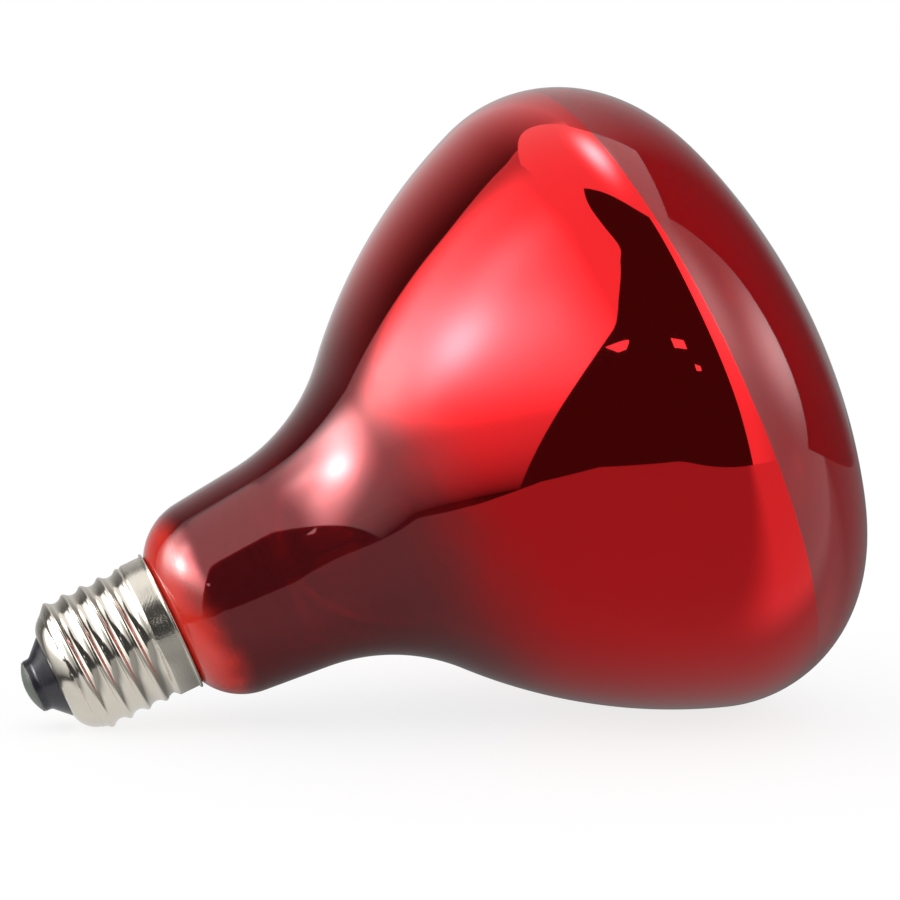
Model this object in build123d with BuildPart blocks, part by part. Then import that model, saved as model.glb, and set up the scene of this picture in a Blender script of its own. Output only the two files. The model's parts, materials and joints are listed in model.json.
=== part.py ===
from build123d import *
import os
from math import acos, asin, atan2, cos, degrees, hypot, radians, sin, sqrt, tan

# Infrared reflector heat lamp with a screw cap, lying on its side as it comes to rest.
# Lamp coordinates: a station is measured along the lamp's axis from the cap's rim, positive
# towards the dome, and a radius from that axis. Lengths are in millimetres, angles in degrees.

# Screw cap: a rolled sheet shell with the 27 mm Edison thread
thread_diameter = 26.2
thread_pitch = 3.629
thread_form_radius = 1.025
thread_flank_angle = 40
thread_root_flat = 0.08
thread_root_sink = 0.07
thread_foot_depth = 2.5
sheet_thickness = 0.35
shell_length = 23.9
first_crest = 4.1
thread_run_in_sink = 0.15
nose_radius = 5.2
shell_opening_diameter = 16.0
skirt_length = 4.4
skirt_rise = 0.12
lip_width = 0.45
lip_thickness = 0.5

# Black glass insulator and centre contact
insulator_height = 4.1
insulator_depth = 3.4
insulator_land = 1.2
insulator_fillet = 1.0
contact_diameter = 9.9
contact_margin = 0.15
contact_edge = 0.3
contact_crown = 1.4
contact_web = 0.6
solder_diameter = 4.4

# Glass bulb, from the seal inside the cap to the dome
bulb_diameter = 125.0
bulb_wall = 1.0
dome_radius = 112.0
rim_radius = 27.0
reflector_radius = 106.0
reflector_depth = 74.2
flare_radius = 36.0
neck_diameter = 41.2
neck_length = 22.4
neck_taper = 5.8
shoulder_radius = 12.5
shoulder_gap = 0.4
seal_fillet = 2.0
seal_gap = 1.7
seal_depth = 9.0

# Cement ring between the glass and the shell
cement_depth = 7.2
cement_recess = 0.8

# Glass stem with its flattened press, and the exhaust tube
stem_diameter = 12.0
stem_wall = 1.0
press_station = 9.0
press_shaping = 5.0
press_length = 11.0
press_width = 13.0
press_thickness = 5.4
press_corner = 2.0
exhaust_diameter = 4.0
exhaust_wall = 0.8
exhaust_reach = 24.0
exhaust_taper = 3.5

# Heat shield and glass support rod in the neck
shield_diameter = 30.0
shield_thickness = 0.4
shield_clearance = 0.1
rod_diameter = 3.0
button_diameter = 6.0
button_length = 4.0
button_chamfer = 1.0

# Filament ring, its support hooks and the two lead wires
filament_station = 52.0
filament_ring_diameter = 22.0
coil_diameter = 1.6
coil_clearance = 0.05
hook_diameter = 0.5
hook_sink = 1.2
hook_lift = 1.6
hook_angles = (45, 90, 135)
lead_diameter = 0.8
lead_spacing = 7.0
lead_spread_start = 5.0
lead_tip = 6.0
lead_rise = 1.2
lead_shell_gap = 0.1
shell_lead_drop = 3.0

os.makedirs("parts", exist_ok=True)


# Plane geometry in lamp coordinates
def toward(start, end, distance):
    """Return the point at a distance from start on the way to end."""
    share = distance / hypot(end[0] - start[0], end[1] - start[1])
    return (start[0] + share * (end[0] - start[0]), start[1] + share * (end[1] - start[1]))


def meeting(centre_a, radius_a, centre_b, radius_b):
    """Return where two circles meet, on the right of the way from centre a to centre b."""
    span = hypot(centre_b[0] - centre_a[0], centre_b[1] - centre_a[1])
    along = (span**2 + radius_a**2 - radius_b**2) / (2 * span)
    aside = sqrt(radius_a**2 - along**2)
    way = ((centre_b[0] - centre_a[0]) / span, (centre_b[1] - centre_a[1]) / span)
    return (centre_a[0] + along * way[0] + aside * way[1], centre_a[1] + along * way[1] - aside * way[0])


def arc_about(centre, start, end):
    """Draw the shorter arc about a centre from start to end."""
    middle = ((start[0] + end[0]) / 2, (start[1] + end[1]) / 2)
    radius = hypot(start[0] - centre[0], start[1] - centre[1])
    return ThreePointArc(start, toward(centre, middle, radius), end)


# Thread form: equal crest and root arcs joined by a straight flank
crest_radius = thread_diameter / 2
flank = radians(thread_flank_angle)
flank_length = (thread_pitch / 2 - 2 * thread_form_radius * sin(flank)) / cos(flank)
thread_depth = 2 * thread_form_radius * (1 - cos(flank)) + flank_length * sin(flank)
core_radius = crest_radius - thread_depth + thread_root_flat
core_bore = core_radius - sheet_thickness
skirt_radius = crest_radius + skirt_rise
skirt_bore = skirt_radius - sheet_thickness
skirt_step = skirt_radius - core_radius
opening_radius = shell_opening_diameter / 2
nose_centre = (nose_radius - shell_length, core_radius - nose_radius)
first_crest_station = first_crest - shell_length

# Centres of the arcs that make up the outline of the bulb
taper = radians(neck_taper)
neck_normal = (-sin(taper), cos(taper))
neck_end = (neck_length, neck_diameter / 2)
collar_radius = skirt_bore - shoulder_gap
seal_radius = core_bore - seal_gap
flare_centre = (neck_end[0] + flare_radius * neck_normal[0], neck_end[1] + flare_radius * neck_normal[1])
rim_centre = (neck_length + reflector_depth, bulb_diameter / 2 - rim_radius)
reflector_centre = meeting(
    flare_centre, reflector_radius + flare_radius, rim_centre, reflector_radius - rim_radius
)
dome_centre = (rim_centre[0] - sqrt((dome_radius - rim_radius) ** 2 - rim_centre[1] ** 2), 0)
neck_rise = neck_end[0] * neck_normal[0] + (neck_end[1] - collar_radius) * neck_normal[1]
collar_reach = sqrt(neck_rise * (2 * shoulder_radius - neck_rise))
shoulder_centre = (
    collar_reach * cos(taper) + (neck_rise - shoulder_radius) * neck_normal[0],
    collar_radius + collar_reach * sin(taper) + (neck_rise - shoulder_radius) * neck_normal[1],
)
fillet_height = seal_radius + seal_fillet
fillet_reach = sqrt((shoulder_radius + seal_fillet) ** 2 - (fillet_height - shoulder_centre[1]) ** 2)
fillet_centre = (shoulder_centre[0] - fillet_reach, fillet_height)


def glass_outline(inset):
    """Draw the bulb's outline, from the seal's end to the tip of the dome, moved in by an inset."""
    seal_end = (-seal_depth, seal_radius - inset)
    seal_top = (fillet_centre[0], seal_radius - inset)
    shoulder_start = toward(shoulder_centre, fillet_centre, shoulder_radius - inset)
    neck_start = (
        shoulder_centre[0] + (shoulder_radius - inset) * neck_normal[0],
        shoulder_centre[1] + (shoulder_radius - inset) * neck_normal[1],
    )
    flare_start = (
        flare_centre[0] - (flare_radius + inset) * neck_normal[0],
        flare_centre[1] - (flare_radius + inset) * neck_normal[1],
    )
    flare_end = toward(flare_centre, reflector_centre, flare_radius + inset)
    rim_start = toward(reflector_centre, rim_centre, reflector_radius - inset)
    rim_end = toward(dome_centre, rim_centre, dome_radius - inset)
    dome_tip = (dome_centre[0] + dome_radius - inset, 0)
    Line(seal_end, seal_top)
    arc_about(fillet_centre, seal_top, shoulder_start)
    arc_about(shoulder_centre, shoulder_start, neck_start)
    Line(neck_start, flare_start)
    arc_about(flare_centre, flare_start, flare_end)
    arc_about(reflector_centre, flare_end, rim_start)
    arc_about(rim_centre, rim_start, rim_end)
    arc_about(dome_centre, rim_end, dome_tip)
    return seal_end, dome_tip


with BuildSketch() as glass_section:
    with BuildLine():
        outer_seal, outer_tip = glass_outline(0)
        inner_seal, inner_tip = glass_outline(bulb_wall)
        Line(outer_seal, inner_seal)
        Line(outer_tip, inner_tip)
    make_face()

# Solder dot and contact plate share one crowned face
contact_station = -(shell_length + insulator_height)
contact_radius = contact_diameter / 2
crown_radius = (contact_radius**2 + contact_crown**2) / (2 * contact_crown)
contact_tip = contact_station - contact_edge - contact_crown
crown_centre = (contact_tip + crown_radius, 0)
crown_edge = (contact_station - contact_edge, contact_radius)
solder_radius = solder_diameter / 2
solder_seat = contact_station - contact_web
solder_edge = (crown_centre[0] - sqrt(crown_radius**2 - solder_radius**2), solder_radius)
lead_radius = lead_diameter / 2

with BuildSketch() as contact_section:
    with BuildLine():
        Polyline(
            solder_edge,
            (solder_seat, solder_radius),
            (solder_seat, lead_radius),
            (contact_station, lead_radius),
            (contact_station, contact_radius),
            crown_edge,
        )
        arc_about(crown_centre, crown_edge, solder_edge)
    make_face()

# The lamp rests on its first full thread crest and on the belly of the reflector, so the floor
# is the line that touches both arcs. The frame's origin is on that floor, below the box's middle.
crest_centre = (first_crest_station + thread_pitch / 2, crest_radius - thread_form_radius)
belly_reach = (reflector_centre[0] - crest_centre[0], reflector_centre[1] - crest_centre[1])
tilt = atan2(belly_reach[1], belly_reach[0]) + asin(
    (reflector_radius - thread_form_radius) / hypot(belly_reach[0], belly_reach[1])
)
axis_height = crest_centre[1] * cos(tilt) + thread_form_radius - crest_centre[0] * sin(tilt)
front_reach = glass_section.sketch.rotate(Axis.Z, -degrees(tilt)).bounding_box().max.X
back_reach = contact_section.sketch.rotate(Axis.Z, degrees(tilt)).bounding_box().min.X
lamp_origin = Vector(-(front_reach + back_reach) / 2, 0, axis_height)
lamp_way = Vector(cos(tilt), 0, sin(tilt))
lamp_up = Vector(-sin(tilt), 0, cos(tilt))
lamp_axis = Axis(lamp_origin, lamp_way)
lamp_section = Plane(lamp_origin, x_dir=lamp_way, z_dir=(0, -1, 0))


def across(station):
    """Return the plane square to the axis at a station, with its X to the lamp's side and Y up."""
    return Plane(lamp_origin + lamp_way * station, x_dir=(0, 1, 0), z_dir=lamp_way)


def lengthwise(turn):
    """Return the plane through the axis whose Y is turned from the lamp's side towards its top."""
    side = Vector(0, cos(radians(turn)), 0) + lamp_up * sin(radians(turn))
    return Plane(lamp_origin, x_dir=lamp_way, z_dir=lamp_way.cross(side))


# Glass bulb
with BuildPart() as glass_bulb:
    with BuildSketch(lamp_section):
        add(glass_section.sketch)
    revolve(axis=lamp_axis)
glass_bulb.part.label = "glass_bulb"
export_step(glass_bulb.part, "parts/glass_bulb.step")

# Screw shell: a turned blank, the rolled thread that runs out on the nose, and the hollow inside.
# It is drawn upright on the Z axis and then laid on the lamp's axis.
nose_tangent = (nose_centre[0], core_radius)
skirt_station = -skirt_length
nose_front = (-shell_length, core_radius - nose_radius)

with BuildSketch() as shell_blank:
    with BuildLine():
        arc_about(nose_centre, nose_front, nose_tangent)
        Polyline(
            nose_tangent,
            (skirt_station - skirt_step, core_radius),
            (skirt_station, skirt_radius),
            (-lip_thickness, skirt_radius),
            (-lip_thickness, skirt_radius + lip_width),
            (0, skirt_radius + lip_width),
            (0, 0),
            (-shell_length, 0),
            nose_front,
        )
    make_face()

# The thread runs in under a cone that leaves the nose at about the flank's angle
cone_offset = nose_radius - thread_run_in_sink
cone_foot = (nose_centre[0] - cone_offset * sin(flank), nose_centre[1] + cone_offset * cos(flank))
cone_end = (cone_foot[0] + (skirt_radius - cone_foot[1]) / tan(flank), skirt_radius)

with BuildSketch() as thread_limit:
    with BuildLine():
        Polyline(
            cone_foot,
            cone_end,
            (-lip_thickness, skirt_radius),
            (-lip_thickness, 0),
            (cone_foot[0], 0),
            close=True,
        )
    make_face()

inner_nose_radius = nose_radius - sheet_thickness
nose_mouth = nose_centre[0] - sqrt(inner_nose_radius**2 - (opening_radius - nose_centre[1]) ** 2)

with BuildSketch() as shell_hollow:
    with BuildLine():
        inner_tangent = (nose_centre[0], core_bore)
        arc_about(nose_centre, (nose_mouth, opening_radius), inner_tangent)
        Polyline(
            inner_tangent,
            (skirt_station - skirt_step, core_bore),
            (skirt_station, skirt_bore),
            (0, skirt_bore),
            (0, 0),
            (-shell_length, 0),
            (-shell_length, opening_radius),
            (nose_mouth, opening_radius),
        )
    make_face()

upright_section = Plane((0, 0, 0), x_dir=(0, 0, 1), z_dir=(0, 1, 0))
thread_start = first_crest_station - thread_pitch / 4
thread_end = skirt_station + thread_pitch / 2
crest_end = (thread_form_radius * sin(flank), -thread_form_radius * (1 - cos(flank)))
root_start = (thread_pitch / 2 - crest_end[0], -thread_depth - crest_end[1])
foot_rise = thread_root_flat - thread_root_sink
foot_turn = acos(1 - foot_rise / thread_form_radius)
root_end = (thread_pitch / 2 - thread_form_radius * sin(foot_turn), foot_rise - thread_depth)
ridge_foot = root_end[1] - thread_foot_depth

with BuildPart() as rolled_shell:
    with BuildLine() as thread_path:
        Helix(thread_pitch, thread_end - thread_start, crest_radius, center=(0, 0, thread_start))
    with BuildSketch(Plane((crest_radius, 0, thread_start), x_dir=(0, 0, 1), z_dir=(0, 1, 0))):
        with BuildLine():
            arc_about((0, -thread_form_radius), (0, 0), crest_end)
            Line(crest_end, root_start)
            arc_about((thread_pitch / 2, thread_form_radius - thread_depth), root_start, root_end)
            Polyline(root_end, (root_end[0], ridge_foot), (0, ridge_foot))
            mirror(about=Plane.YZ)
        make_face()
    sweep(path=thread_path.line, is_frenet=True)
    with BuildSketch(upright_section):
        add(thread_limit.sketch)
    revolve(axis=Axis.Z, mode=Mode.INTERSECT)
    with BuildSketch(upright_section):
        add(shell_blank.sketch)
    revolve(axis=Axis.Z)
    with BuildSketch(upright_section):
        add(shell_hollow.sketch)
    revolve(axis=Axis.Z, mode=Mode.SUBTRACT)

with BuildPart(across(0)) as screw_shell:
    add(rolled_shell.part)
screw_shell.part.label = "screw_shell"
export_step(screw_shell.part, "parts/screw_shell.step")

# Insulator: black glass that fills the shell's nose and carries the contact on its boss
insulator_back = insulator_depth - shell_length
boss_radius = contact_radius + contact_margin

with BuildSketch() as insulator_section:
    add(shell_hollow.sketch)
    with BuildLine():
        Polyline(
            (-shell_length, 0),
            (insulator_back, 0),
            (insulator_back, skirt_radius),
            (-shell_length, skirt_radius),
            close=True,
        )
    make_face(mode=Mode.INTERSECT)
    with BuildLine():
        FilletPolyline(
            (contact_station, boss_radius),
            (contact_station + insulator_land, boss_radius),
            (-shell_length, opening_radius),
            radius=insulator_fillet,
        )
        Polyline(
            (-shell_length, opening_radius),
            (-shell_length, 0),
            (contact_station, 0),
            (contact_station, boss_radius),
        )
    make_face()
    with BuildLine():
        Polyline(
            (contact_station, 0),
            (insulator_back, 0),
            (insulator_back, lead_radius),
            (contact_station, lead_radius),
            close=True,
        )
    make_face(mode=Mode.SUBTRACT)

with BuildPart() as cap_insulator:
    with BuildSketch(lamp_section):
        add(insulator_section.sketch)
    revolve(axis=lamp_axis)
cap_insulator.part.label = "cap_insulator"
export_step(cap_insulator.part, "parts/cap_insulator.step")

# Centre contact: a crowned plate with a dished middle for the solder
with BuildPart() as centre_contact:
    with BuildSketch(lamp_section):
        add(contact_section.sketch)
    revolve(axis=lamp_axis)
centre_contact.part.label = "centre_contact"
export_step(centre_contact.part, "parts/centre_contact.step")

with BuildPart() as contact_solder:
    with BuildSketch(lamp_section):
        with BuildLine():
            arc_about(crown_centre, solder_edge, (contact_tip, 0))
            Polyline((contact_tip, 0), (solder_seat, 0), (solder_seat, solder_radius), solder_edge)
        make_face()
    revolve(axis=lamp_axis)
contact_solder.part.label = "contact_solder"
export_step(contact_solder.part, "parts/contact_solder.step")

# Cement ring: fills the space between the glass and the skirt
with BuildSketch() as cement_section:
    add(shell_hollow.sketch)
    with BuildLine():
        Polyline(
            (-cement_depth, 0),
            (-cement_recess, 0),
            (-cement_recess, skirt_radius),
            (-cement_depth, skirt_radius),
            close=True,
        )
    make_face(mode=Mode.INTERSECT)
    with BuildLine():
        seal_foot, glass_tip = glass_outline(0)
        Polyline(glass_tip, (-seal_depth, 0), seal_foot)
    make_face(mode=Mode.SUBTRACT)

with BuildPart() as cap_cement:
    with BuildSketch(lamp_section):
        add(cement_section.sketch)
    revolve(axis=lamp_axis)
cap_cement.part.label = "cap_cement"
export_step(cap_cement.part, "parts/cap_cement.step")

# Stations and radii of the wires and the glass inside
press_end = press_station + press_length
seal_face = -seal_depth
seal_bore = seal_radius - bulb_wall
stem_radius = stem_diameter / 2
stem_bore = stem_radius - stem_wall
exhaust_radius = exhaust_diameter / 2
exhaust_tip = press_station - exhaust_reach
coil_radius = coil_diameter / 2
ring_radius = filament_ring_diameter / 2
lead_offset = lead_spacing / 2


def bent_wire(plane, points, radius):
    """Sweep a round wire along straight runs on a plane, mitred at each corner."""
    with BuildPart() as piece:
        with BuildLine(plane) as route:
            Polyline(*points)
        with BuildSketch(Plane(route.line @ 0, z_dir=route.line % 0)):
            Circle(radius)
        sweep(path=route.line, transition=Transition.RIGHT)
    return piece


# Lead wires: each rises from the cap through the press and spreads to one end of the filament
lead_elbow = seal_face - stem_wall - shell_lead_drop
lead_spread = [
    (press_end + lead_spread_start, lead_offset),
    (filament_station - lead_tip, ring_radius),
    (filament_station + coil_radius, ring_radius),
]
contact_lead_points = [(solder_seat, 0), (insulator_back + lead_rise, 0), (exhaust_tip, lead_offset)]
shell_lead_points = [(lead_elbow, core_bore - lead_shell_gap), (lead_elbow, lead_offset)]

contact_lead = bent_wire(lengthwise(0), contact_lead_points + lead_spread, lead_radius)
contact_lead.part.label = "contact_lead"
export_step(contact_lead.part, "parts/contact_lead.step")

shell_lead = bent_wire(lengthwise(180), shell_lead_points + lead_spread, lead_radius)
shell_lead.part.label = "shell_lead"
export_step(shell_lead.part, "parts/shell_lead.step")

# Glass stem: a tube that flares out to the bulb's seal and is pressed flat round the leads
flare_top = seal_face + seal_bore - stem_radius

with BuildPart() as glass_stem:
    with BuildSketch(lamp_section):
        with BuildLine():
            Polyline(
                (press_station, stem_bore),
                (press_station, stem_radius),
                (flare_top, stem_radius),
                (seal_face, seal_bore),
                (seal_face, seal_radius),
                (seal_face - stem_wall, seal_radius),
                (seal_face - stem_wall, seal_bore),
                (flare_top - stem_wall, stem_bore),
                close=True,
            )
        make_face()
    revolve(axis=lamp_axis)
    with BuildSketch(across(press_station)):
        Circle(stem_radius)
    with BuildSketch(across(press_station + press_shaping)) as press_outline:
        RectangleRounded(press_width, press_thickness, press_corner)
    loft()
    extrude(press_outline.sketch, amount=press_length - press_shaping)
    add(contact_lead.part, mode=Mode.SUBTRACT)
    add(shell_lead.part, mode=Mode.SUBTRACT)
glass_stem.part.label = "glass_stem"
export_step(glass_stem.part, "parts/glass_stem.step")

# Exhaust tube: runs down the stem and is drawn to a closed tip inside the cap
exhaust_bore = exhaust_radius - exhaust_wall
tip_start = exhaust_tip + exhaust_taper

with BuildPart() as exhaust_tube:
    with BuildSketch(lamp_section):
        with BuildLine():
            Polyline(
                (exhaust_tip, 0),
                (exhaust_tip, exhaust_wall),
                (tip_start, exhaust_radius),
                (press_station, exhaust_radius),
                (press_station, exhaust_bore),
                (tip_start, exhaust_bore),
                (tip_start, 0),
                close=True,
            )
        make_face()
    revolve(axis=lamp_axis)
exhaust_tube.part.label = "exhaust_tube"
export_step(exhaust_tube.part, "parts/exhaust_tube.step")

# Heat shield: a thin disc on the press, with holes for the support rod and the leads
rod_radius = rod_diameter / 2

with BuildPart() as heat_shield:
    with BuildSketch(across(press_end)):
        Circle(shield_diameter / 2)
        Circle(rod_radius + shield_clearance, mode=Mode.SUBTRACT)
        with Locations((lead_offset, 0), (-lead_offset, 0)):
            Circle(lead_radius + shield_clearance, mode=Mode.SUBTRACT)
    extrude(amount=shield_thickness)
heat_shield.part.label = "heat_shield"
export_step(heat_shield.part, "parts/heat_shield.step")

# Filament: the outer form of the tungsten coil, in straight stretches from lead to hooks to lead
ring_stops = [0, *hook_angles, 180]
ring_points = [(ring_radius * cos(radians(stop)), ring_radius * sin(radians(stop))) for stop in ring_stops]
lead_gap = lead_radius + coil_clearance
coil_start = toward(ring_points[0], ring_points[1], lead_gap)
coil_end = toward(ring_points[-1], ring_points[-2], lead_gap)

filament = bent_wire(across(filament_station), [coil_start, *ring_points[1:-1], coil_end], coil_radius)
filament.part.label = "filament"
export_step(filament.part, "parts/filament.step")

# Support hooks: wires that leave the rod's button under the coil and turn up outside it
hook_radius = hook_diameter / 2
widest_step = max(after - before for before, after in zip(ring_stops, ring_stops[1:]))
coil_corner = coil_radius / cos(radians(widest_step) / 2)
hook_station = filament_station - coil_radius - coil_clearance - hook_radius
hook_reach = ring_radius + coil_corner + coil_clearance + hook_radius
button_radius = button_diameter / 2
hook_points = [
    (hook_station, button_radius - hook_sink),
    (hook_station, hook_reach),
    (filament_station + hook_lift, hook_reach),
]
hooks = []
for number, angle in enumerate(hook_angles, start=1):
    hook = bent_wire(lengthwise(angle), hook_points, hook_radius)
    hook.part.label = f"support_hook_{number}"
    export_step(hook.part, f"parts/support_hook_{number}.step")
    hooks.append(hook)

# Support rod: a glass rod on the press, with a button at its end that the hooks are set in
button_station = hook_station - button_length / 2

with BuildPart() as support_rod:
    with BuildSketch(across(button_station)):
        Circle(button_radius)
    extrude(amount=button_length)
    chamfer(edges().filter_by(GeomType.CIRCLE), button_chamfer)
    with BuildSketch(across(press_end)):
        Circle(rod_radius)
    extrude(amount=button_station - press_end)
    for hook in hooks:
        add(hook.part, mode=Mode.SUBTRACT)
support_rod.part.label = "support_rod"
export_step(support_rod.part, "parts/support_rod.step")
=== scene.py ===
"""Infrared reflector heat lamp: red glass bulb with a mirror coat, in a nickel-plated screw cap.

Every size is in metres. A station is measured along the lamp's axis from the cap's rim, positive
towards the dome, and a radius from that axis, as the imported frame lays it.
"""
import json
import math

import bpy
import numpy as np
from bpy.props import FloatProperty, FloatVectorProperty, IntProperty, PointerProperty
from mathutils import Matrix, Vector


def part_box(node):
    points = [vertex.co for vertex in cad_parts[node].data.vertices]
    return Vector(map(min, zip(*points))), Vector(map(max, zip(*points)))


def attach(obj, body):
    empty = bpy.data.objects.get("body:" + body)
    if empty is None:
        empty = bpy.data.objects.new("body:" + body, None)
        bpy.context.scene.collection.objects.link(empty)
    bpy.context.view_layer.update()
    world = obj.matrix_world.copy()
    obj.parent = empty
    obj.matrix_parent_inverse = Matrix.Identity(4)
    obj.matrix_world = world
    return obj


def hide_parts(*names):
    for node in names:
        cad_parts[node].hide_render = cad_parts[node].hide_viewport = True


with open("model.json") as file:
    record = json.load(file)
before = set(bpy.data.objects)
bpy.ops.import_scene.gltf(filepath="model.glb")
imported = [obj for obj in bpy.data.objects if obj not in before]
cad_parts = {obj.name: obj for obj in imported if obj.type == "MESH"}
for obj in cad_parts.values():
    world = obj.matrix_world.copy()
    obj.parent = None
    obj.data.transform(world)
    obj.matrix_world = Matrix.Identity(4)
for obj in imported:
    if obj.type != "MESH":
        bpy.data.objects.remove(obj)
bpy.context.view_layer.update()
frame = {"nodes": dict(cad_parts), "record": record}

bl_info = {
    "name": "Infrared reflector heat lamp",
    "version": (1, 0, 0),
    "blender": (4, 5, 0),
    "location": "View3D > Sidebar > Heat Lamp",
    "description": "Builds a red glass heat lamp with a screw cap around its packed frame",
    "category": "Object",
}

MM = 0.001
ON_AXIS = 1e-9
BODY = "root"

# An edge that bends by more than this angle stays sharp
CREASE = math.radians(40)
WIRE_CREASE = math.radians(80)

# Lamp axis: the record's mount is the tip of the centre contact and points out of the cap
SCREW_CAP = frame["record"]["mounts"][0]
TIP_STATION = -29.7 * MM
AXIS_WAY = -np.array(SCREW_CAP["axis"])
AXIS_SIDE = np.array((0.0, 1.0, 0.0))
AXIS_UP = np.cross(AXIS_WAY, AXIS_SIDE)
RIM_POINT = np.array(SCREW_CAP["pos_m"]) - TIP_STATION * AXIS_WAY
BULB_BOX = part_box("glass_bulb")


def length(name, description, millimetres):
    """Return a property for a length in metres, given in millimetres."""
    return FloatProperty(
        name=name, description=description, default=millimetres * MM, precision=5, unit="LENGTH",
        subtype="DISTANCE",
    )


def angle(name, description, degrees):
    """Return a property for an angle, given in degrees."""
    return FloatProperty(
        name=name, description=description, default=math.radians(degrees), unit="ROTATION",
        subtype="ANGLE",
    )


def share(name, description, default):
    """Return a property for a plain number from nothing upwards."""
    return FloatProperty(name=name, description=description, default=default, min=0.0)


def count(name, description, default):
    """Return a property for a number of grid steps."""
    return IntProperty(name=name, description=description, default=default, min=3)


def colour(name, description, default):
    """Return a property for a linear colour."""
    return FloatVectorProperty(
        name=name, description=description, default=default, size=3, min=0.0, max=1.0, subtype="COLOR"
    )


class GlassBulbSettings(bpy.types.PropertyGroup):
    """Sizes and colours of the blown bulb and its mirror coat."""

    diameter: length("Diameter", "Widest part of the reflector", (BULB_BOX[1].y - BULB_BOX[0].y) / MM)
    wall: length("Wall", "Thickness of the glass", 1.0)
    dome_radius: length("Dome radius", "Radius of the front dome", 112)
    rim_radius: length("Rim radius", "Radius of the turn from reflector to dome", 27)
    reflector_radius: length("Reflector radius", "Radius of the reflector's side", 106)
    reflector_depth: length("Reflector depth", "From the neck's end to the widest part", 74.2)
    flare_radius: length("Flare radius", "Radius of the hollow turn from neck to reflector", 36)
    neck_diameter: length("Neck diameter", "Diameter at the wide end of the neck", 41.2)
    neck_length: length("Neck length", "From the cap's rim to the end of the neck", 22.4)
    neck_taper: angle("Neck taper", "Slope of the neck's side", 5.8)
    shoulder_radius: length("Shoulder radius", "Radius of the turn from the cap to the neck", 12.5)
    collar_radius: length("Collar radius", "Radius of the glass at the cap's rim", 12.47)
    seal_radius: length("Seal radius", "Radius of the glass inside the cap", 10.2335)
    seal_fillet: length("Seal fillet", "Radius of the turn inside the cap", 2.0)
    seal_depth: length("Seal depth", "How far the glass reaches into the cap", 9.0)
    coat_start: length("Coat start", "Station where the mirror begins to cover the glass", 38.5)
    coat_full: length("Coat full", "Station where the mirror covers the glass", 61.5)
    coat_front: length("Coat front", "Station of the mirror's sharp front edge", 102.0)
    coat_edge: length("Coat edge", "Half the width of the sharp front edge", 0.12)
    coat_ragged: length("Coat ragged", "How far the sharp front edge wanders", 0.06)
    coat_drift: length("Coat drift", "How far the soft edges wander", 2)
    band_start: length("Band start", "Station where the band at the cap begins to darken", 3.5)
    band_end: length("Band end", "Station where the dark neck begins", 9)
    tint_end: length("Tint end", "From the end of the neck's tint to the front edge", 10)
    mirror: colour("Mirror", "Red of the mirror seen through the glass", (1.0, 0.004, 0.009))
    silver: colour("Silver", "Mirror seen from inside", (0.88, 0.86, 0.84))
    clear_band: colour("Clear band", "Tint of the bare glass at the cap", (0.95, 0.05, 0.03))
    dark_neck: colour("Dark neck", "Tint of the darker neck", (0.27, 0.008, 0.014))
    dome: colour("Dome", "Tint of the bare glass at the front", (0.8, 0.012, 0.024))
    turns: count("Turns", "Grid steps round the axis", 208)
    outer_steps: count("Outer steps", "Grid steps of the shoulder outside", 18)
    inner_steps: count("Inner steps", "Grid steps of the shoulder inside", 12)


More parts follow.
